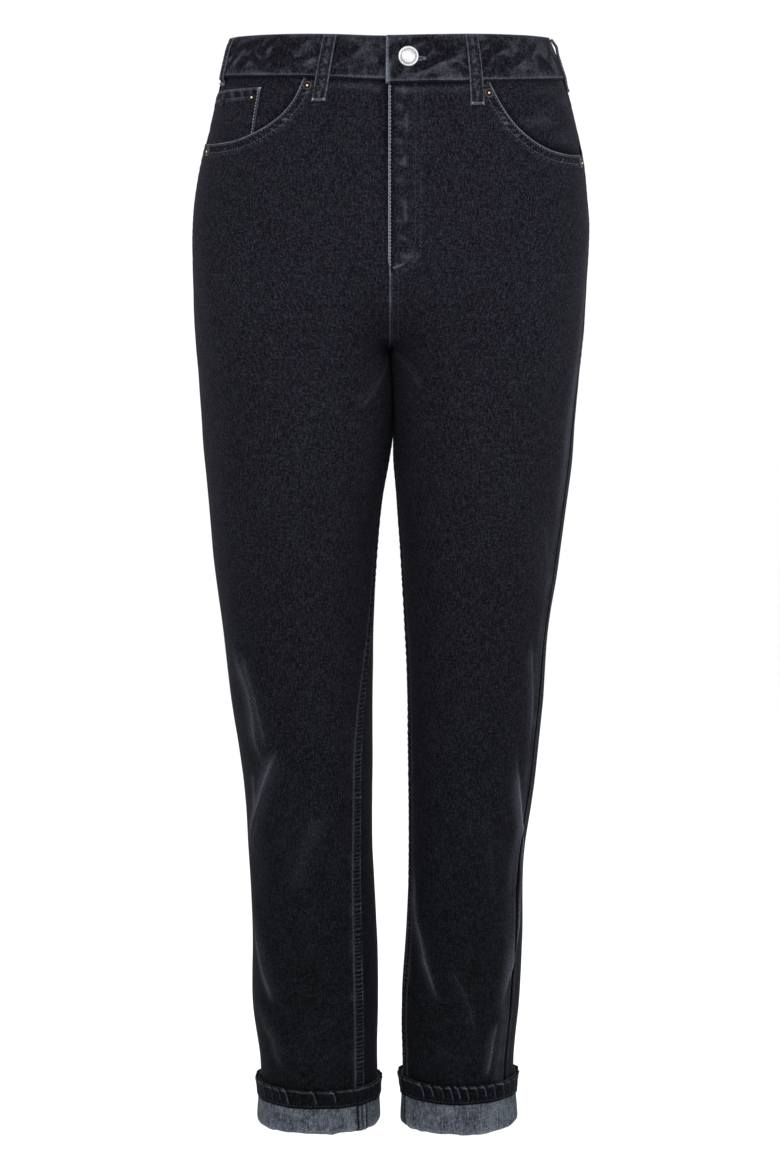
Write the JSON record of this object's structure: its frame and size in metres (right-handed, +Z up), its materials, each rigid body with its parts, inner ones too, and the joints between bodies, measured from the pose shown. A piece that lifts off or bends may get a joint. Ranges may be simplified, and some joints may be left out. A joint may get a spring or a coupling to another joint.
{
  "type": "mom jeans",
  "caption": "High-waisted mom jeans in dark washed denim, filled out as if worn, with tapered legs turned up once at the ankle.",
  "frame": {"origin": "on the body's centre line at half the height of the waistband, where the wearer's waist holds the garment", "axes": "+Z up the garment, -Y the front with the fly, +X the wearer's left"},
  "size_m": [0.3675, 0.2333, 1.0284],
  "materials": {
    "denim": "very dark indigo-black denim, matt, slightly faded along edges and seams",
    "denim_wrong_side": "grey-blue wrong side of the denim, matt",
    "button_metal": "bright silver-coloured metal",
    "rivet_metal": "dark copper-coloured metal, worn bright at the centre"
  },
  "bodies": {
    "root": {"front_right": "denim", "front_left": "denim", "back_right": "denim", "back_left": "denim", "yoke_right": "denim", "yoke_left": "denim", "waistband": "denim", "pocket_facing_right": "denim", "pocket_facing_left": "denim", "coin_pocket": "denim", "back_pocket_right": "denim", "back_pocket_left": "denim", "belt_loop_front_right": "denim", "belt_loop_front_left": "denim", "belt_loop_side_right": "denim", "belt_loop_side_left": "denim", "belt_loop_back": "denim", "cuff_right": "denim_wrong_side", "cuff_left": "denim_wrong_side", "hem_right": "denim", "hem_left": "denim", "waist_button": "button_metal", "rivet_pocket_right": "rivet_metal", "rivet_pocket_left": "rivet_metal", "rivet_side_right": "rivet_metal", "rivet_side_left": "rivet_metal", "rivet_coin_inner": "rivet_metal", "rivet_coin_outer": "rivet_metal"}
  },
  "joints": []
}
